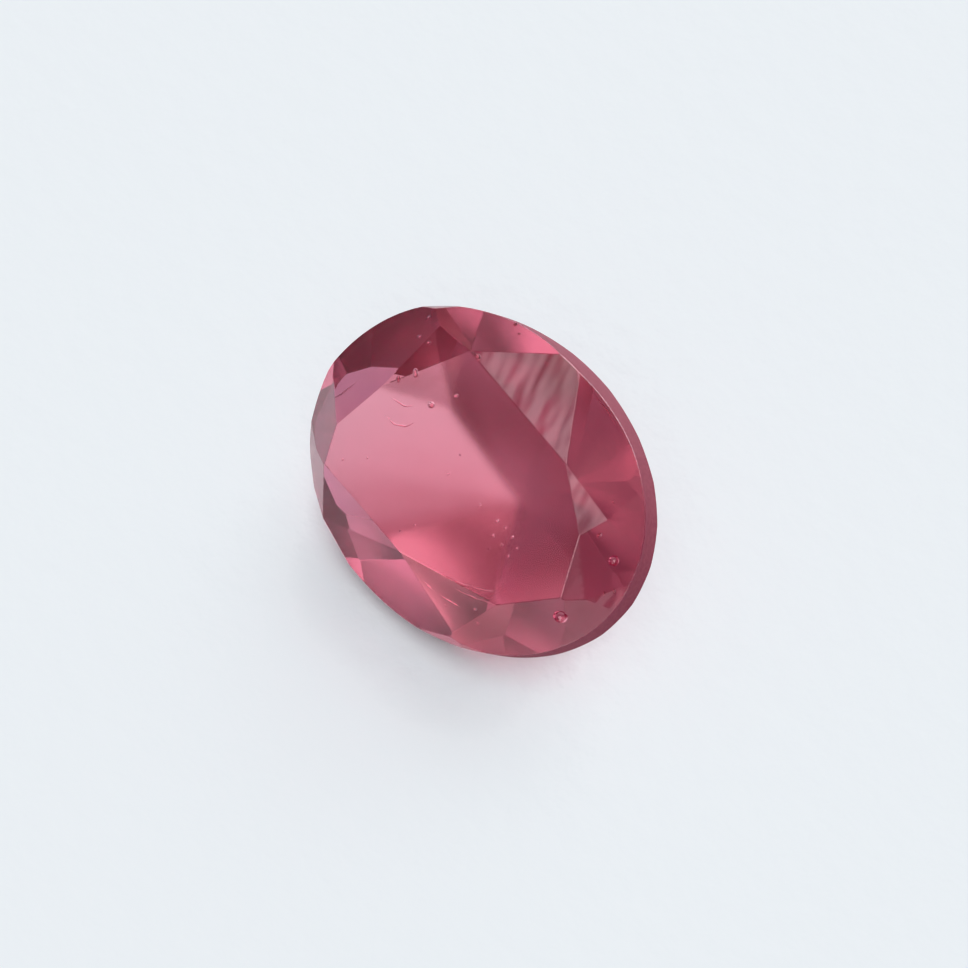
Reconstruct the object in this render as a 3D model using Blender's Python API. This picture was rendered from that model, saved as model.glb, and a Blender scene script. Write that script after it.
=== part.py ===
"""A loose oval-cut ruby, lying on one of its long pavilion facets.

Metres, +Z up. The stone is one solid. It is cut the way a cutter works: an oval
blank is turned first, then one flat facet after another is ground off it. The
facets are laid out with the table up, and the finished stone is then rolled about
its long axis (X) until the front pavilion facet lies flat on the ground plane.
The origin is on the ground under the middle of the stone's bounding box.
"""
import math

import bmesh
import bpy
from mathutils import Matrix, Vector

# Driving dimensions of the cut stone
LENGTH = 0.01108
WIDTH = 0.00850
CROWN_HEIGHT = 0.00115
GIRDLE_THICKNESS = 0.00080
PAVILION_DEPTH = 0.00309
BLANK_SIDES = 144

# The culet, the lowest point of the pavilion, sits a little towards +X
CULET_OFFSET = 0.00075

# Edges of the table facet, each by the direction that it faces, its distance from
# the stone's axis, and how far down the crown its star facet runs. The table is a
# slightly uneven oval of nine edges.
TABLE_EDGES = (
    (22.0, 0.00400, 0.35),
    (52.0, 0.00319, 0.35),
    (82.0, 0.00251, 0.68),
    (147.5, 0.00311, 0.60),
    (159.5, 0.00333, 0.60),
    (200.0, 0.00396, 0.45),
    (263.0, 0.00261, 0.55),
    (282.0, 0.00257, 0.55),
    (312.0, 0.00359, 0.50),
)
UPPER_GIRDLE_SHARE = 0.28

# Pavilion mains, which meet in the culet: the direction that each faces, and how far
# below the girdle its plane passes at the outline. The stone lies on RESTING_MAIN.
PAVILION_MAINS = (
    (30.0, 0.0),
    (72.0, 0.0),
    (104.0, -0.00010),
    (216.0, 0.0),
    (245.0, 0.00017),
    (270.0, 0.0),
    (330.0, 0.0),
)
RESTING_MAIN = 270.0

# Break facets, a steeper ring under the girdle: the direction that each faces, its
# angle from level, and how far it cuts up into the girdle
PAVILION_BREAKS = (
    (12.0, 36.0, 0.0),
    (45.0, 38.0, 0.0),
    (60.0, 40.0, 0.0),
    (88.0, 41.0, 0.0),
    (120.0, 40.0, 0.0),
    (134.0, 39.0, 0.00020),
    (150.0, 40.0, 0.00040),
    (166.0, 43.5, 0.00040),
    (182.0, 46.5, 0.00030),
    (204.0, 40.0, 0.00015),
    (226.0, 41.0, 0.00020),
    (241.0, 41.0, 0.00010),
    (257.0, 43.0, 0.0),
    (296.0, 43.0, 0.0),
    (312.0, 40.0, 0.0),
    (352.0, 36.0, 0.0),
)

# Open pits where the polished surface has broken into a bubble, each by its
# direction and distance from the axis, and its radius
CROWN_PITS = (
    (346.5, 0.00488, 0.00021),
    (11.0, 0.00497, 0.00015),
)
PIT_SEGMENTS = 14
PIT_RINGS = 8
PIT_DEPTH_SHARE = 0.35

HALF_LENGTH = LENGTH / 2.0
HALF_WIDTH = WIDTH / 2.0
GIRDLE_TOP = GIRDLE_THICKNESS / 2.0
GIRDLE_FOOT = -GIRDLE_THICKNESS / 2.0
TABLE_LEVEL = GIRDLE_TOP + CROWN_HEIGHT
CULET_LEVEL = GIRDLE_FOOT - PAVILION_DEPTH
CULET = Vector((CULET_OFFSET, 0.0, CULET_LEVEL))
BLANK_MARGIN = 0.0005
MERGE_DISTANCE = 1e-7

# A clear, slightly bluish red
RUBY_RED = (0.62, 0.09, 0.15, 1.0)
RUBY_IOR = 1.765
POLISHED = 0.03


def clear_scene():
    for thing in list(bpy.data.objects):
        bpy.data.objects.remove(thing, do_unlink=True)


def new_collection(name):
    collection = bpy.data.collections.new(name)
    bpy.context.scene.collection.children.link(collection)
    return collection


def facing(degrees):
    """Unit vector in the girdle plane that points the given way."""
    turn = math.radians(degrees)
    return Vector((math.cos(turn), math.sin(turn), 0.0))


def reach(direction):
    """How far the oval outline reaches in a direction of the girdle plane."""
    return math.hypot(HALF_LENGTH * direction.x, HALF_WIDTH * direction.y)


def facet(direction, angle, through):
    """A plane that faces a direction, tipped by an angle from level: up to the table
    where the angle is positive, down to the culet where it is negative."""
    rise = math.copysign(math.cos(angle), angle)
    return through, direction * math.sin(abs(angle)) + Vector((0.0, 0.0, rise))


def table_corners():
    """Where each table edge meets the next one."""
    corners = []
    for index, (turn, distance, _) in enumerate(TABLE_EDGES):
        next_turn, next_distance, _ = TABLE_EDGES[(index + 1) % len(TABLE_EDGES)]
        here, there = facing(turn), facing(next_turn)
        cross = here.x * there.y - here.y * there.x
        x = (distance * there.y - next_distance * here.y) / cross
        y = (next_distance * here.x - distance * there.x) / cross
        corners.append(Vector((x, y, TABLE_LEVEL)))
    return corners


def outline_normal(point):
    """Outward direction of the oval outline on the ray from the axis to a point."""
    return Vector((point.x / HALF_LENGTH**2, point.y / HALF_WIDTH**2, 0.0)).normalized()


def meet(planes):
    """The point where three planes meet."""
    rows = Matrix([normal for _, normal in planes])
    return rows.inverted() @ Vector([normal.dot(point) for point, normal in planes])


def crown_planes():
    """Mains on the table's corners, stars on its edges, two girdle facets under each star."""
    corners = table_corners()
    mains = []
    for corner in corners:
        way = outline_normal(corner)
        run = reach(way) - corner.dot(way)
        mains.append(facet(way, math.atan2(CROWN_HEIGHT, run), corner))
    stars = []
    girdle_facets = []
    for index, (_, _, drop) in enumerate(TABLE_EDGES):
        sides = (mains[index - 1], mains[index])
        start, end = corners[index - 1], corners[index]
        level = Vector((0.0, 0.0, TABLE_LEVEL - drop * CROWN_HEIGHT))
        apex = meet((*sides, (level, Vector((0.0, 0.0, 1.0)))))
        stars.append((apex, (apex - start).cross(end - start).normalized()))
        middle = outline_normal(apex)
        for _, normal in sides:
            side_way = Vector((normal.x, normal.y, 0.0)).normalized()
            way = middle.lerp(side_way, UPPER_GIRDLE_SHARE).normalized()
            run = reach(way) - apex.dot(way)
            girdle_facets.append(facet(way, math.atan2(apex.z - GIRDLE_TOP, run), apex))
    return stars + mains + girdle_facets


def main_angle(turn, drop):
    """Angle from level of the main that faces a direction and runs into the culet."""
    way = facing(turn)
    return math.atan2(PAVILION_DEPTH - drop, reach(way) - CULET.dot(way))


def pavilion_planes():
    """Mains from the culet towards the girdle, and the ring of break facets under it."""
    planes = []
    for turn, drop in PAVILION_MAINS:
        planes.append(facet(facing(turn), -main_angle(turn, drop), CULET))
    for turn, angle, rise in PAVILION_BREAKS:
        way = facing(turn)
        foot = way * reach(way) + Vector((0.0, 0.0, GIRDLE_FOOT + rise))
        planes.append(facet(way, -math.radians(angle), foot))
    return planes


def oval_blank():
    """The turned oval blank, taller than the finished stone at both ends."""
    blank = bmesh.new()
    bmesh.ops.create_cone(
        blank,
        cap_ends=True,
        segments=BLANK_SIDES,
        radius1=1.0,
        radius2=1.0,
        depth=TABLE_LEVEL - CULET_LEVEL + 2.0 * BLANK_MARGIN,
    )
    bmesh.ops.scale(blank, vec=(HALF_LENGTH, HALF_WIDTH, 1.0), verts=blank.verts)
    middle = (TABLE_LEVEL + CULET_LEVEL) / 2.0
    bmesh.ops.translate(blank, vec=(0.0, 0.0, middle), verts=blank.verts)
    return blank


def grind(stone, point, normal):
    """Grind one flat facet: cut the stone off beyond a plane and close the cut."""
    geometry = stone.verts[:] + stone.edges[:] + stone.faces[:]
    cut = bmesh.ops.bisect_plane(
        stone, geom=geometry, dist=MERGE_DISTANCE, plane_co=point, plane_no=normal, clear_outer=True
    )
    rim = [item for item in cut["geom_cut"] if isinstance(item, bmesh.types.BMEdge)]
    open_rim = [edge for edge in rim if edge.is_boundary]
    if open_rim:
        bmesh.ops.contextual_create(stone, geom=open_rim)


def surface_level(direction, distance, planes):
    """Height of the crown over a place in the girdle plane."""
    place = direction * distance
    levels = [point.z + (point - place).dot(Vector((n.x, n.y, 0.0))) / n.z for point, n in planes]
    return min(levels + [TABLE_LEVEL])


def pit_cutter(name, place, radius, collection):
    mesh = bpy.data.meshes.new(name)
    ball = bmesh.new()
    bmesh.ops.create_uvsphere(ball, u_segments=PIT_SEGMENTS, v_segments=PIT_RINGS, radius=radius)
    bmesh.ops.translate(ball, vec=place, verts=ball.verts)
    ball.to_mesh(mesh)
    ball.free()
    cutter = bpy.data.objects.new(name, mesh)
    cutter.hide_render = True
    cutter.display_type = "WIRE"
    collection.objects.link(cutter)
    return cutter


def ruby_material():
    material = bpy.data.materials.new("ruby")
    material.use_nodes = True
    shader = material.node_tree.nodes["Principled BSDF"]
    shader.inputs["Base Color"].default_value = RUBY_RED
    shader.inputs["Roughness"].default_value = POLISHED
    shader.inputs["Metallic"].default_value = 0.0
    shader.inputs["Transmission Weight"].default_value = 1.0
    shader.inputs["IOR"].default_value = RUBY_IOR
    return material


def build():
    clear_scene()
    stones = new_collection("ruby_stone")
    cutters = new_collection("cutters")

    crown = crown_planes()
    stone = oval_blank()
    grind(stone, Vector((0.0, 0.0, TABLE_LEVEL)), Vector((0.0, 0.0, 1.0)))
    for point, normal in crown + pavilion_planes():
        grind(stone, point, normal)
    bmesh.ops.recalc_face_normals(stone, faces=stone.faces)

    # Roll the stone about its long axis onto the pavilion main that faces -Y,
    # then stand it on the ground with the middle of its box over the origin.
    roll = Matrix.Rotation(main_angle(RESTING_MAIN, 0.0), 4, "X")
    bmesh.ops.transform(stone, matrix=roll, verts=stone.verts)
    lows = [min(vert.co[axis] for vert in stone.verts) for axis in range(3)]
    highs = [max(vert.co[axis] for vert in stone.verts) for axis in range(3)]
    shift = Vector((-(lows[0] + highs[0]) / 2.0, -(lows[1] + highs[1]) / 2.0, -lows[2]))
    bmesh.ops.translate(stone, vec=shift, verts=stone.verts)
    placed = Matrix.Translation(shift) @ roll

    mesh = bpy.data.meshes.new("ruby")
    stone.to_mesh(mesh)
    stone.free()
    ruby = bpy.data.objects.new("ruby", mesh)
    stones.objects.link(ruby)
    mesh.materials.append(ruby_material())

    for index, (turn, distance, radius) in enumerate(CROWN_PITS):
        direction = facing(turn)
        level = surface_level(direction, distance, crown)
        sunk = direction * distance + Vector((0.0, 0.0, level + radius * PIT_DEPTH_SHARE))
        cutter = pit_cutter(f"pit_cutter_{index + 1}", placed @ sunk, radius, cutters)
        boolean = ruby.modifiers.new(f"pit_{index + 1}", "BOOLEAN")
        boolean.operation = "DIFFERENCE"
        boolean.solver = "EXACT"
        boolean.object = cutter


build()
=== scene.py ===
import math

import bmesh
import bpy
from mathutils import Matrix, Vector, noise


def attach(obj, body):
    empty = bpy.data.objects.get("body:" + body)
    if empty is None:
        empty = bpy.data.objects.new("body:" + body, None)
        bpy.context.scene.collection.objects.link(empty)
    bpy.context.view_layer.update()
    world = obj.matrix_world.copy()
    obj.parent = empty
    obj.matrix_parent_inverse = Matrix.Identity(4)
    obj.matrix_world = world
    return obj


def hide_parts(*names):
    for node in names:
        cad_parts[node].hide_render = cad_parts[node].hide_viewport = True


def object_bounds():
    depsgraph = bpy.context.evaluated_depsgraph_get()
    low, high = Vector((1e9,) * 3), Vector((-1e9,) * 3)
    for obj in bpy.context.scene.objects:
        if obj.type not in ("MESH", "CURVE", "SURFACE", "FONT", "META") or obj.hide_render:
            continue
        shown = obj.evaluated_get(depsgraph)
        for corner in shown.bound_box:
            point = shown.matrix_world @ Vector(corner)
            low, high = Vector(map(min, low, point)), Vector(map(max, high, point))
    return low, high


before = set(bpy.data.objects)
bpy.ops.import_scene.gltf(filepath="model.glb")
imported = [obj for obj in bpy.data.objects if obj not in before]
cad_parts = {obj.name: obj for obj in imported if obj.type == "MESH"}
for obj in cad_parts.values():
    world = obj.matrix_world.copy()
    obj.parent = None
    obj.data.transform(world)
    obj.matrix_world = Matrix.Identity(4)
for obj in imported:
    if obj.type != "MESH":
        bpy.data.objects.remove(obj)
cad_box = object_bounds()

# The ruby blank
# A single crystal of red corundum. The cutter first turns it to an oval with a
# straight girdle wall, a little taller than the finished stone. Metres throughout.
LENGTH = 0.01108
WIDTH = 0.00850
CROWN_HEIGHT = 0.00115
GIRDLE_THICKNESS = 0.00080
PAVILION_DEPTH = 0.00309
HALF_LENGTH = LENGTH / 2.0
HALF_WIDTH = WIDTH / 2.0
GIRDLE_TOP = GIRDLE_THICKNESS / 2.0
GIRDLE_FOOT = -GIRDLE_THICKNESS / 2.0
TABLE_LEVEL = GIRDLE_TOP + CROWN_HEIGHT
CULET_LEVEL = GIRDLE_FOOT - PAVILION_DEPTH
BLANK_SIDES = 180
BLANK_MARGIN = 0.0005
MERGE_DISTANCE = 1e-8
UP = Vector((0.0, 0.0, 1.0))


def grind(stone, point, normal, keep_both=False):
    """Grind one flat facet, or only score its line where both sides are kept."""
    cut = bmesh.ops.bisect_plane(
        stone,
        geom=stone.verts[:] + stone.edges[:] + stone.faces[:],
        dist=MERGE_DISTANCE,
        plane_co=point,
        plane_no=normal,
        clear_outer=not keep_both,
    )
    rim = [item for item in cut["geom_cut"] if isinstance(item, bmesh.types.BMEdge)]
    open_rim = [edge for edge in rim if edge.is_boundary]
    if open_rim:
        bmesh.ops.contextual_create(stone, geom=open_rim)


stone = bmesh.new()
bmesh.ops.create_cone(
    stone,
    cap_ends=True,
    segments=BLANK_SIDES,
    radius1=1.0,
    radius2=1.0,
    depth=TABLE_LEVEL - CULET_LEVEL + 2.0 * BLANK_MARGIN,
)
bmesh.ops.scale(stone, vec=(HALF_LENGTH, HALF_WIDTH, 1.0), verts=stone.verts)
bmesh.ops.translate(stone, vec=UP * (TABLE_LEVEL + CULET_LEVEL) / 2.0, verts=stone.verts)

# The crown and its table
# The upper facets: a flat, slightly uneven table, a star facet on each of its
# edges, a main facet on each of its corners and two girdle facets under each star.
TABLE_EDGES = (
    (22.0, 0.00400, 0.35),
    (52.0, 0.00319, 0.35),
    (82.0, 0.00251, 0.68),
    (147.5, 0.00311, 0.60),
    (159.5, 0.00333, 0.60),
    (200.0, 0.00396, 0.45),
    (263.0, 0.00261, 0.55),
    (282.0, 0.00257, 0.55),
    (312.0, 0.00359, 0.50),
)
UPPER_GIRDLE_SHARE = 0.28


def facing(degrees):
    turn = math.radians(degrees)
    return Vector((math.cos(turn), math.sin(turn), 0.0))


def reach(way):
    """How far the oval outline reaches in a direction of the girdle plane."""
    return math.hypot(HALF_LENGTH * way.x, HALF_WIDTH * way.y)


def outline_normal(point):
    return Vector((point.x / HALF_LENGTH**2, point.y / HALF_WIDTH**2, 0.0)).normalized()


def facet(way, angle, through):
    """A facet plane tipped by an angle from level, towards the culet where it is negative."""
    rise = math.copysign(math.cos(angle), angle)
    return through, way * math.sin(abs(angle)) + UP * rise


def meet(planes):
    rows = Matrix([normal for _, normal in planes])
    return rows.inverted() @ Vector([normal.dot(point) for point, normal in planes])


corners = []
for index, (turn, distance, _) in enumerate(TABLE_EDGES):
    next_turn, next_distance, _ = TABLE_EDGES[(index + 1) % len(TABLE_EDGES)]
    here, there = facing(turn), facing(next_turn)
    cross = here.x * there.y - here.y * there.x
    x = (distance * there.y - next_distance * here.y) / cross
    y = (next_distance * here.x - distance * there.x) / cross
    corners.append(Vector((x, y, TABLE_LEVEL)))

crown_mains = []
for corner in corners:
    way = outline_normal(corner)
    run = reach(way) - corner.dot(way)
    crown_mains.append(facet(way, math.atan2(CROWN_HEIGHT, run), corner))

stars = []
upper_girdle = []
for index, (_, _, drop) in enumerate(TABLE_EDGES):
    sides = (crown_mains[index - 1], crown_mains[index])
    start, end = corners[index - 1], corners[index]
    apex = meet((*sides, (UP * (TABLE_LEVEL - drop * CROWN_HEIGHT), UP)))
    stars.append((apex, (apex - start).cross(end - start).normalized()))
    middle = outline_normal(apex)
    for _, normal in sides:
        side_way = Vector((normal.x, normal.y, 0.0)).normalized()
        way = middle.lerp(side_way, UPPER_GIRDLE_SHARE).normalized()
        run = reach(way) - apex.dot(way)
        upper_girdle.append(facet(way, math.atan2(apex.z - GIRDLE_TOP, run), apex))

crown = stars + crown_mains + upper_girdle
grind(stone, UP * TABLE_LEVEL, UP)
for point, normal in crown:
    grind(stone, point, normal)

# The pavilion
# The lower facets: mains that meet in the culet, and a steeper ring of break facets
# under the girdle. The stone lies on the main that faces -Y.
CULET = Vector((0.00075, 0.0, CULET_LEVEL))
PAVILION_MAINS = (
    (30.0, 0.0),
    (72.0, 0.0),
    (104.0, -0.00010),
    (216.0, 0.0),
    (245.0, 0.00017),
    (270.0, 0.0),
    (330.0, 0.0),
)
RESTING_MAIN = 270.0
PAVILION_BREAKS = (
    (12.0, 36.0, 0.0),
    (45.0, 38.0, 0.0),
    (60.0, 40.0, 0.0),
    (88.0, 41.0, 0.0),
    (120.0, 40.0, 0.0),
    (134.0, 39.0, 0.00020),
    (150.0, 40.0, 0.00040),
    (166.0, 43.5, 0.00040),
    (182.0, 46.5, 0.00030),
    (204.0, 40.0, 0.00015),
    (226.0, 41.0, 0.00020),
    (241.0, 41.0, 0.00010),
    (257.0, 43.0, 0.0),
    (296.0, 43.0, 0.0),
    (312.0, 40.0, 0.0),
    (352.0, 36.0, 0.0),
)


def main_angle(turn, drop):
    """Angle from level of a main that starts a drop below the girdle and runs into the culet."""
    way = facing(turn)
    return math.atan2(PAVILION_DEPTH - drop, reach(way) - CULET.dot(way))


for turn, drop in PAVILION_MAINS:
    grind(stone, *facet(facing(turn), -main_angle(turn, drop), CULET))
for turn, angle, rise in PAVILION_BREAKS:
    way = facing(turn)
    grind(stone, *facet(way, -math.radians(angle), way * reach(way) + UP * (GIRDLE_FOOT + rise)))

# Worn edges
# Handling has taken the sharpness off every facet edge and the girdle's rims, so
# each is broken by a flat strip some hundredths of a millimetre wide.
WORN_WIDTH = 0.000025
SHARP_EDGE = math.radians(4.0)

stone.normal_update()
worn = []
for edge in stone.edges:
    bend = edge.calc_face_angle(0.0)
    if bend > SHARP_EDGE:
        normal = (edge.link_faces[0].normal + edge.link_faces[1].normal).normalized()
        depth = WORN_WIDTH / 2.0 * math.tan(bend / 2.0)
        middle = (edge.verts[0].co + edge.verts[1].co) / 2.0
        worn.append((middle - normal * depth, normal))
for point, normal in worn:
    grind(stone, point, normal)

# The roll onto the resting facet
# The stone lies on its front pavilion main, with the middle of its box over the
# origin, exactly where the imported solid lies.
roll = Matrix.Rotation(main_angle(RESTING_MAIN, 0.0), 4, "X")
cad_middle = (cad_box[0] + cad_box[1]) / 2.0
lows = [min((roll @ vert.co)[axis] for vert in stone.verts) for axis in range(3)]
highs = [max((roll @ vert.co)[axis] for vert in stone.verts) for axis in range(3)]
shift = Vector((
    cad_middle.x - (lows[0] + highs[0]) / 2.0,
    cad_middle.y - (lows[1] + highs[1]) / 2.0,
    -lows[2],
))
placed = Matrix.Translation(shift) @ roll

# Polish waves
# The facets were polished by hand on a soft lap, so they are not quite flat. The
# faces are scored into a fine grid and moved by a few thousandths of a millimetre.
GRID = 0.00012
for axis, half in ((Vector((1.0, 0.0, 0.0)), HALF_LENGTH), (Vector((0.0, 1.0, 0.0)), HALF_WIDTH)):
    for step in range(-int(half / GRID), int(half / GRID) + 1):
        grind(stone, axis * step * GRID, axis, keep_both=True)

WAVE_LENGTH = 0.0009
WAVE_HEIGHT = 0.0000025
stone.normal_update()
for vert in stone.verts:
    vert.co += vert.normal * noise.noise(vert.co / WAVE_LENGTH) * WAVE_HEIGHT

# Lap finishes and painted shade
# The crown carries a bright polish, the table a worn one and the pavilion a coarse one. Two star
# facets were polished in ripples. The crown facets are marked for painted shade, purpler on one side.
TABLE_ROUGHNESS = 0.26
CROWN_ROUGHNESS = 0.04
PAVILION_ROUGHNESS = 0.22
GIRDLE_TILT = 0.2
CALM = 0.06
RIPPLED_STARS = {2: 1.0, 1: 0.6}
# The crown facets turned towards this side get a painted purple shade.
PURPLE_SHADE_SIDE = facing(212.0)
PURPLE_SHADE_START = 0.10
PURPLE_SHADE_FULL = 0.36
SAME_FACET = math.cos(math.radians(3.0))
lap = stone.faces.layers.float.new("finish")
wave = stone.faces.layers.float.new("ripple")
wall = stone.faces.layers.float.new("girdle")
purple_shade_layer = stone.faces.layers.float.new("purple")
upper = stone.faces.layers.float.new("crown")
stone.normal_update()
for face in stone.faces:
    if face.normal.dot(UP) > SAME_FACET:
        face[lap] = TABLE_ROUGHNESS
    elif face.normal.z > GIRDLE_TILT:
        face[lap] = CROWN_ROUGHNESS
        # These crown facets are marked for painted shade, a duskier red than the table.
        face[upper] = 1.0
        # Painted purple shade, stronger the more a crown facet turns to that side.
        lean = (face.normal.dot(PURPLE_SHADE_SIDE) - PURPLE_SHADE_START) / (PURPLE_SHADE_FULL - PURPLE_SHADE_START)
        face[purple_shade_layer] = min(1.0, max(0.0, lean))
    elif face.normal.z > -GIRDLE_TILT:
        face[lap] = PAVILION_ROUGHNESS
        face[wall] = 1.0
    else:
        face[lap] = PAVILION_ROUGHNESS
    face[wave] = CALM
    for index, strength in RIPPLED_STARS.items():
        if face.normal.dot(stars[index][1]) > SAME_FACET:
            face[wave] = strength

# Open pits
# Two bubbles that the polishing broke into, now round dents in the crown near the
# girdle, on the side towards +X.
CROWN_PITS = (
    (346.5, 0.00488, 0.00021),
    (11.0, 0.00497, 0.00015),
)
PIT_DEPTH_SHARE = 0.35
PIT_SEGMENTS = 32
PIT_RINGS = 18

stone_mesh = bpy.data.meshes.new("ruby_stone")
stone.to_mesh(stone_mesh)
stone.free()
ruby = bpy.data.objects.new("ruby_stone", stone_mesh)
bpy.context.scene.collection.objects.link(ruby)


def surface_level(way, distance):
    """Height of the crown's surface at a place of the girdle plane."""
    place = way * distance
    levels = [point.z - (place - point).xy.dot(normal.xy) / normal.z for point, normal in crown]
    return min(levels + [TABLE_LEVEL])


balls = []
for turn, distance, radius in CROWN_PITS:
    way = facing(turn)
    ball = bmesh.new()
    bmesh.ops.create_uvsphere(ball, u_segments=PIT_SEGMENTS, v_segments=PIT_RINGS, radius=radius)
    sunk = way * distance + UP * (surface_level(way, distance) + radius * PIT_DEPTH_SHARE)
    bmesh.ops.translate(ball, vec=sunk, verts=ball.verts)
    ball_mesh = bpy.data.meshes.new("pit")
    ball.to_mesh(ball_mesh)
    ball.free()
    cutter = bpy.data.objects.new("pit", ball_mesh)
    bpy.context.scene.collection.objects.link(cutter)
    cut = ruby.modifiers.new("pit", "BOOLEAN")
    cut.operation = "DIFFERENCE"
    cut.solver = "EXACT"
    cut.object = cutter
    balls.append(cutter)
graph = bpy.context.evaluated_depsgraph_get()
pitted = bpy.data.meshes.new_from_object(ruby.evaluated_get(graph))
ruby.modifiers.clear()
for cutter in balls:
    bpy.data.objects.remove(cutter)

# Bubbles and healed cracks
# Gas bubbles and thin healed cracks that the crystal closed over while it grew, so
# they are small sealed voids just under the crown.
BUBBLES = (
    (-0.00380, 0.00253, 0.00052, 0.000085),
    (-0.00356, 0.00202, 0.00083, 0.000090),
    (-0.00316, 0.00211, 0.00099, 0.000070),
    (-0.00285, 0.00131, 0.00125, 0.000100),
    (-0.00316, 0.00087, 0.00124, 0.000070),
    (-0.00149, 0.00159, 0.00126, 0.000060),
    (-0.00194, 0.00094, 0.00121, 0.000110),
    (-0.00166, 0.00276, 0.00129, 0.000090),
    (-0.00175, 0.00390, 0.00039, 0.000060),
    (-0.00140, 0.00382, 0.00060, 0.000050),
    (0.00265, -0.00245, 0.00118, 0.000050),
    (0.00510, 0.00006, 0.00068, 0.000060),
    (0.00522, 0.00024, 0.00051, 0.000060),
    (0.00411, 0.00122, 0.00100, 0.000070),
    (0.00380, 0.00209, 0.00080, 0.000050),
    (0.00285, -0.00273, 0.00102, 0.000050),
    (-0.00056, -0.00399, 0.00042, 0.000050),
    (0.00135, -0.00406, 0.00041, 0.000050),
    (-0.00307, -0.00182, 0.00126, 0.000030),
    (-0.00252, -0.00133, 0.00126, 0.000030),
    (-0.00035, 0.00044, 0.00126, 0.000030),
    (-0.00030, -0.00017, 0.00126, 0.000035),
    (-0.00044, -0.00224, 0.00126, 0.000030),
    (-0.00018, -0.00184, 0.00126, 0.000030),
    (0.00100, -0.00023, 0.00126, 0.000035),
    (0.00181, -0.00296, 0.00103, 0.000030),
    (0.00164, -0.00027, 0.00107, 0.000050),
    (0.00193, -0.00028, 0.00097, 0.000040),
    (0.00176, -0.00067, 0.00087, 0.000045),
    (0.00227, -0.00033, 0.00107, 0.000050),
    (0.00215, -0.00068, 0.00097, 0.000040),
    (0.00258, -0.00046, 0.00107, 0.000035),
    (0.00251, -0.00079, 0.00107, 0.000040),
    (0.00190, -0.00102, 0.00097, 0.000030),
)
BUBBLE_SHAPE = Matrix.Diagonal((0.85, 0.85, 1.25, 1.0))
BUBBLE_LEAN = 0.9
GOLDEN_TURN = 2.4
LARGE_BUBBLE = 0.00006
CRACKS = (
    ((0.00128, -0.00232, 0.00143), (0.00202, -0.00219, 0.00143), (0.00251, -0.00194, 0.00143),
     (0.00296, -0.00169, 0.00143)),
    ((0.00189, -0.00239, 0.00136), (0.00253, -0.00220, 0.00138), (0.00313, -0.00197, 0.00143)),
    ((0.00097, -0.00282, 0.00125), (0.00130, -0.00287, 0.00120)),
    ((0.00160, -0.00281, 0.00120), (0.00222, -0.00273, 0.00118)),
    ((-0.00281, -0.00009, 0.00143), (-0.00244, -0.00011, 0.00143), (-0.00212, 0.00003, 0.00143),
     (-0.00195, 0.00030, 0.00143)),
    ((-0.00299, 0.00036, 0.00143), (-0.00256, 0.00045, 0.00143), (-0.00226, 0.00061, 0.00143)),
    ((-0.00463, -0.00106, 0.00079), (-0.00439, -0.00050, 0.00102), (-0.00424, -0.00002, 0.00102)),
    ((0.00144, 0.00394, 0.00067), (0.00191, 0.00384, 0.00054), (0.00241, 0.00365, 0.00046)),
)
CRACK_WIDTH = 0.00002
CRACK_STEPS = 20
CRACK_SIDES = 6
CRACK_WANDER = 0.00003
WANDER_SIZE = 0.00025
WANDER_SEED = 7
CRACK_TIP = 0.15
LOOK_AHEAD = 0.05
SOFT_EDGE = math.radians(3.0)

stone = bmesh.new()
stone.from_mesh(pitted)
lap = stone.faces.layers.float["finish"]
stone.normal_update()
for edge in stone.edges:
    finishes = [face[lap] for face in edge.link_faces]
    in_pit = max(finishes) == 0.0
    edge.smooth = in_pit or edge.calc_face_angle(0.0) < SOFT_EDGE


def seal_void(shell):
    """Turn a closed shell inside out, so that the glass is outside it."""
    bmesh.ops.reverse_faces(stone, faces=list({face for vert in shell for face in vert.link_faces}))


for index, (x, y, z, radius) in enumerate(BUBBLES):
    lean = Matrix.Rotation(index * GOLDEN_TURN, 4, "Z") @ Matrix.Rotation(BUBBLE_LEAN, 4, "X")
    shell = bmesh.ops.create_icosphere(
        stone,
        subdivisions=3 if radius >= LARGE_BUBBLE else 2,
        radius=radius,
        matrix=Matrix.Translation((x, y, z)) @ lean @ BUBBLE_SHAPE,
    )
    seal_void(shell["verts"])


def along(path, share):
    """Point of a bent path at a share of its way, with a little natural wander."""
    place = share * (len(path) - 1)
    leg = min(int(place), len(path) - 2)
    point = Vector(path[leg]).lerp(Vector(path[leg + 1]), place - leg)
    return point + noise.noise_vector(point / WANDER_SIZE) * CRACK_WANDER


noise.seed_set(WANDER_SEED)
for path in CRACKS:
    rings = []
    for step in range(CRACK_STEPS + 1):
        share = step / CRACK_STEPS
        middle = along(path, share)
        start = along(path, max(share - LOOK_AHEAD, 0.0))
        ahead = along(path, min(share + LOOK_AHEAD, 1.0)) - start
        side = ahead.cross(UP).normalized()
        lift = side.cross(ahead).normalized()
        width = CRACK_WIDTH * (CRACK_TIP + math.sin(math.pi * share))
        ring = []
        for corner in range(CRACK_SIDES):
            turn = 2.0 * math.pi * corner / CRACK_SIDES
            offset = side * math.cos(turn) + lift * math.sin(turn)
            ring.append(stone.verts.new(middle + offset * width))
        rings.append(ring)
    faces = [stone.faces.new(rings[0]), stone.faces.new(rings[-1])]
    for near, far in zip(rings, rings[1:]):
        for corner in range(CRACK_SIDES):
            following = (corner + 1) % CRACK_SIDES
            faces.append(stone.faces.new((near[corner], near[following], far[following], far[corner])))
    bmesh.ops.recalc_face_normals(stone, faces=faces)
    bmesh.ops.reverse_faces(stone, faces=faces)

bmesh.ops.transform(stone, matrix=placed, verts=stone.verts)
wall = stone.faces.layers.float["girdle"]
for face in stone.faces:
    face.smooth = True
    face.material_index = int(face[wall])
mesh = bpy.data.meshes.new("ruby_stone")
stone.to_mesh(mesh)
stone.free()
ruby.data = mesh
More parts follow.
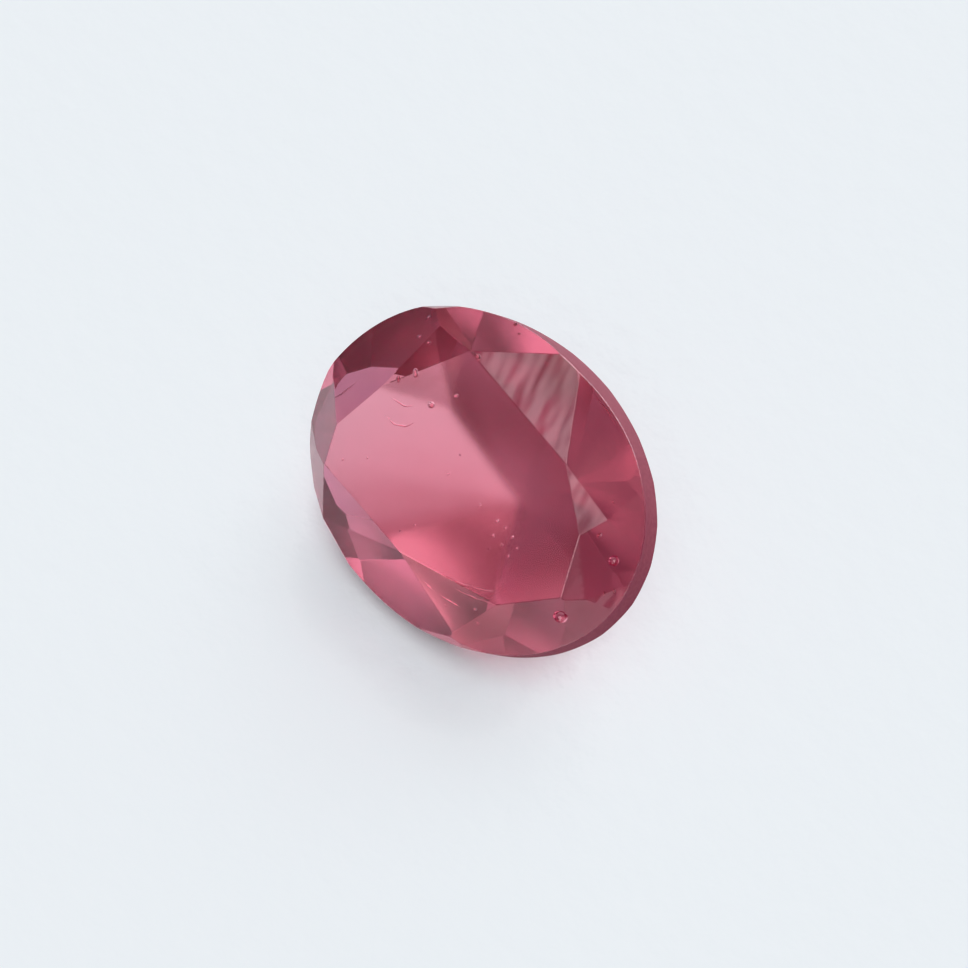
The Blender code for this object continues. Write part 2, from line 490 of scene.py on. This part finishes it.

# The ruby's colour, polish and painted shade
# Clear corundum, pink through the table. The crown facets carry painted shade: a duskier red,
# and a darker purple on those turned to one side. It is redder the further light goes through it.
RUBY_PINK = (1.0, 0.57, 0.65, 1.0)
# Painted shade: the duskier red given to the crown facets.
CROWN_SHADE_RED = (0.70, 0.31, 0.36, 1.0)
# Painted shade: the darker purple for the crown facets on one side.
PURPLE_SHADE_TINT = (0.38, 0.15, 0.26, 1.0)
RUBY_IOR = 1.765
DEPTH_RED = (0.97, 0.62, 0.70, 1.0)
DEPTH_DENSITY = 200.0
SHADE_PATCH_SIZE = 0.0016
SHADE_PATCH_WANDER = 0.5
RIPPLE_AXIS = (-0.18, 0.86, 0.47)
RIPPLE_ACROSS = (0.75, 0.42, -0.50)
RIPPLE_LENGTH = 0.0015
RIPPLE_WIDTH = 0.0005
RIPPLE_HEIGHT = 0.00005
ruby_finish_and_shade = bpy.data.materials.new("polished_ruby_painted_shade")
ruby_finish_and_shade.use_nodes = True
nodes = ruby_finish_and_shade.node_tree.nodes
links = ruby_finish_and_shade.node_tree.links
shader = nodes["Principled BSDF"]
shader.inputs["Transmission Weight"].default_value = 1.0
shader.inputs["IOR"].default_value = RUBY_IOR
place = nodes.new("ShaderNodeTexCoord")
# Patches that make the painted purple shade wander across the facets.
shade_patches = nodes.new("ShaderNodeTexNoise")
shade_patches.inputs["Scale"].default_value = 1.0 / SHADE_PATCH_SIZE
shade_patches.inputs["Detail"].default_value = 1.0
purple_shade_reader = nodes.new("ShaderNodeAttribute")
purple_shade_reader.attribute_name = "purple"
wander = nodes.new("ShaderNodeMapRange")
wander.inputs["To Min"].default_value = 1.0 - SHADE_PATCH_WANDER
wander.inputs["To Max"].default_value = 1.0 + SHADE_PATCH_WANDER
purple_shade_amount = nodes.new("ShaderNodeMath")
purple_shade_amount.operation = "MULTIPLY"
purple_shade_amount.use_clamp = True
crown_shade_reader = nodes.new("ShaderNodeAttribute")
crown_shade_reader.attribute_name = "crown"
# Painted shade: the crown facets are tinted a duskier red than the pink table and pavilion.
body = nodes.new("ShaderNodeMix")
body.data_type = "RGBA"
body.inputs[6].default_value = RUBY_PINK
body.inputs[7].default_value = CROWN_SHADE_RED
links.new(crown_shade_reader.outputs["Fac"], body.inputs[0])
# Painted shade: a darker purple on one side of the crown, in wandering patches.
tint = nodes.new("ShaderNodeMix")
tint.data_type = "RGBA"
tint.inputs[7].default_value = PURPLE_SHADE_TINT
links.new(body.outputs[2], tint.inputs[6])
links.new(place.outputs["Object"], shade_patches.inputs["Vector"])
links.new(shade_patches.outputs["Fac"], wander.inputs["Value"])
links.new(purple_shade_reader.outputs["Fac"], purple_shade_amount.inputs[0])
links.new(wander.outputs["Result"], purple_shade_amount.inputs[1])
links.new(purple_shade_amount.outputs["Value"], tint.inputs[0])

lapped = nodes.new("ShaderNodeAttribute")
lapped.attribute_name = "finish"
links.new(lapped.outputs["Fac"], shader.inputs["Roughness"])
links.new(tint.outputs[2], shader.inputs["Base Color"])

stretched = nodes.new("ShaderNodeCombineXYZ")
for slot, way, size in (("X", RIPPLE_AXIS, RIPPLE_LENGTH), ("Y", RIPPLE_ACROSS, RIPPLE_WIDTH)):
    run = nodes.new("ShaderNodeVectorMath")
    run.operation = "DOT_PRODUCT"
    run.inputs[1].default_value = Vector(way).normalized() / size
    links.new(place.outputs["Object"], run.inputs[0])
    links.new(run.outputs["Value"], stretched.inputs[slot])
ripples = nodes.new("ShaderNodeTexNoise")
ripples.inputs["Scale"].default_value = 1.0
ripples.inputs["Detail"].default_value = 1.0
rippled = nodes.new("ShaderNodeAttribute")
rippled.attribute_name = "ripple"
height = nodes.new("ShaderNodeMath")
height.operation = "MULTIPLY"
bump = nodes.new("ShaderNodeBump")
bump.inputs["Distance"].default_value = RIPPLE_HEIGHT
links.new(stretched.outputs["Vector"], ripples.inputs["Vector"])
links.new(ripples.outputs["Fac"], height.inputs[0])
links.new(rippled.outputs["Fac"], height.inputs[1])
links.new(height.outputs["Value"], bump.inputs["Height"])
links.new(bump.outputs["Normal"], shader.inputs["Normal"])

depth_colour = nodes.new("ShaderNodeVolumeAbsorption")
depth_colour.inputs["Color"].default_value = DEPTH_RED
depth_colour.inputs["Density"].default_value = DEPTH_DENSITY
links.new(depth_colour.outputs["Volume"], nodes["Material Output"].inputs["Volume"])
mesh.materials.append(ruby_finish_and_shade)

# The ground girdle
# The wall round the stone's widest place is left as the wheel ground it, so it is
# matt. Its dark, dull red is painted shade for the dark rim round the stone.
# Painted shade: the dark reds of the girdle wall, mixed at random by the grit.
GROUND_SHADE_RED = (0.28, 0.08, 0.105, 1.0)
GROUND_SHADE_DARK = (0.19, 0.05, 0.07, 1.0)
GRIT_SIZE = 0.00012
GRIT_DEPTH = 0.000004
GROUND_ROUGHNESS = 0.6
GROUND_SHINE = 0.1
girdle_finish_and_shade = bpy.data.materials.new("ground_ruby_painted_shade")
girdle_finish_and_shade.use_nodes = True
nodes = girdle_finish_and_shade.node_tree.nodes
links = girdle_finish_and_shade.node_tree.links
shader = nodes["Principled BSDF"]
shader.inputs["Roughness"].default_value = GROUND_ROUGHNESS
shader.inputs["Specular IOR Level"].default_value = GROUND_SHINE
place = nodes.new("ShaderNodeTexCoord")
grit = nodes.new("ShaderNodeTexNoise")
grit.inputs["Scale"].default_value = 1.0 / GRIT_SIZE
grit.inputs["Detail"].default_value = 2.0
# Painted shade: the matt wall is coloured a dark dull red, varied at random by the grit.
tint = nodes.new("ShaderNodeMix")
tint.data_type = "RGBA"
tint.inputs[6].default_value = GROUND_SHADE_DARK
tint.inputs[7].default_value = GROUND_SHADE_RED
scratched = nodes.new("ShaderNodeBump")
scratched.inputs["Distance"].default_value = GRIT_DEPTH
links.new(place.outputs["Object"], grit.inputs["Vector"])
links.new(grit.outputs["Fac"], tint.inputs[0])
links.new(tint.outputs[2], shader.inputs["Base Color"])
links.new(grit.outputs["Fac"], scratched.inputs["Height"])
links.new(scratched.outputs["Normal"], shader.inputs["Normal"])
mesh.materials.append(girdle_finish_and_shade)

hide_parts("ruby")
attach(ruby, "root")

# The floor
# A plain pale board under the stone, a hair below the resting facet, with the fine
# pressed grain of a thick white paper.
FLOOR_SIZE = 0.6
FLOOR_GAP = 0.00001
BOARD_WHITE = (0.84, 0.87, 0.885, 1.0)
BOARD_ROUGHNESS = 0.6
GRAIN_SIZE = 0.0009
GRAIN_HEIGHT = 0.00006
bpy.ops.mesh.primitive_plane_add(size=FLOOR_SIZE, location=(0.0, 0.0, -FLOOR_GAP))
floor = bpy.context.object
floor.name = "floor"
pale = bpy.data.materials.new("pale_board")
pale.use_nodes = True
board = pale.node_tree.nodes["Principled BSDF"]
board.inputs["Base Color"].default_value = BOARD_WHITE
board.inputs["Roughness"].default_value = BOARD_ROUGHNESS
fibre_place = pale.node_tree.nodes.new("ShaderNodeTexCoord")
grain = pale.node_tree.nodes.new("ShaderNodeTexNoise")
grain.inputs["Scale"].default_value = 1.0 / GRAIN_SIZE
grain.inputs["Detail"].default_value = 3.0
pressed = pale.node_tree.nodes.new("ShaderNodeBump")
pressed.inputs["Distance"].default_value = GRAIN_HEIGHT
pale.node_tree.links.new(fibre_place.outputs["Object"], grain.inputs["Vector"])
pale.node_tree.links.new(grain.outputs["Fac"], pressed.inputs["Height"])
pale.node_tree.links.new(pressed.outputs["Normal"], board.inputs["Normal"])
floor.data.materials.append(pale)

# Studio light
# A dim surround with three soft glows: a wide window low behind the stone, a
# diffuser overhead that the top star facet mirrors, and a fill on the camera's side.
SURROUND_LEVEL = 0.38
SURROUND_WHITE = (0.95, 0.97, 1.0, 1.0)
world = bpy.data.worlds.new("studio")
bpy.context.scene.world = world
world.use_nodes = True
sky = world.node_tree
surround = sky.nodes["Background"]
surround.inputs["Color"].default_value = SURROUND_WHITE
direction = sky.nodes.new("ShaderNodeTexCoord")


def glow(below, azimuth, elevation, inner, outer, level):
    """Add a round soft glow to those below it, full within inner degrees and gone at outer."""
    high = math.radians(elevation)
    toward = sky.nodes.new("ShaderNodeVectorMath")
    toward.operation = "DOT_PRODUCT"
    toward.inputs[1].default_value = facing(azimuth) * math.cos(high) + UP * math.sin(high)
    spread = sky.nodes.new("ShaderNodeMapRange")
    spread.interpolation_type = "SMOOTHSTEP"
    spread.inputs["From Min"].default_value = math.cos(math.radians(outer))
    spread.inputs["From Max"].default_value = math.cos(math.radians(inner))
    spread.inputs["To Max"].default_value = level
    total = sky.nodes.new("ShaderNodeMath")
    sky.links.new(direction.outputs["Generated"], toward.inputs[0])
    sky.links.new(toward.outputs["Value"], spread.inputs["Value"])
    sky.links.new(spread.outputs["Result"], total.inputs[0])
    if below is None:
        total.inputs[1].default_value = SURROUND_LEVEL
    else:
        sky.links.new(below, total.inputs[1])
    return total.outputs["Value"]


window = glow(None, azimuth=103.0, elevation=20.0, inner=14.0, outer=40.0, level=3.6)
diffuser = glow(window, azimuth=233.0, elevation=85.0, inner=8.0, outer=24.0, level=1.3)
front_fill = glow(diffuser, azimuth=312.0, elevation=54.0, inner=10.0, outer=30.0, level=2.0)
sky.links.new(front_fill, surround.inputs["Strength"])

# Camera
# It looks down on the stone at the photograph's angle, from so far that there is
# hardly any perspective. The picture is exposed a little bright, as the photograph is.
PHOTO_SIDE = 968.0
PIXELS_PER_METRE = 36800.0
STONE_MIDDLE_PX = (481.6, 476.7)
CAMERA_AZIMUTH = math.radians(46.5)
CAMERA_ELEVATION = math.radians(57.0)
CAMERA_DISTANCE = 0.16
SENSOR = 36.0
EXPOSURE = 0.36

back = Vector((
    math.sin(CAMERA_AZIMUTH) * math.cos(CAMERA_ELEVATION),
    -math.cos(CAMERA_AZIMUTH) * math.cos(CAMERA_ELEVATION),
    math.sin(CAMERA_ELEVATION),
))
right = Vector((math.cos(CAMERA_AZIMUTH), math.sin(CAMERA_AZIMUTH), 0.0))
up = back.cross(right)
across = (PHOTO_SIDE / 2.0 - STONE_MIDDLE_PX[0]) / PIXELS_PER_METRE
down = (PHOTO_SIDE / 2.0 - STONE_MIDDLE_PX[1]) / PIXELS_PER_METRE
aim = cad_middle + right * across - up * down
camera_data = bpy.data.cameras.new("camera")
camera_data.sensor_width = SENSOR
camera_data.lens = SENSOR * CAMERA_DISTANCE * PIXELS_PER_METRE / PHOTO_SIDE
camera_data.clip_start = 0.001
camera_data.clip_end = 10.0
camera = bpy.data.objects.new("camera", camera_data)
camera.location = aim + back * CAMERA_DISTANCE
camera.rotation_mode = "QUATERNION"
camera.rotation_quaternion = (-back).to_track_quat("-Z", "Y")
bpy.context.scene.collection.objects.link(camera)
bpy.context.scene.camera = camera

scene = bpy.context.scene
scene.view_settings.view_transform = "Khronos PBR Neutral"
scene.view_settings.exposure = EXPOSURE
scene.cycles.max_bounces = 32
scene.cycles.glossy_bounces = 24
scene.cycles.transmission_bounces = 24
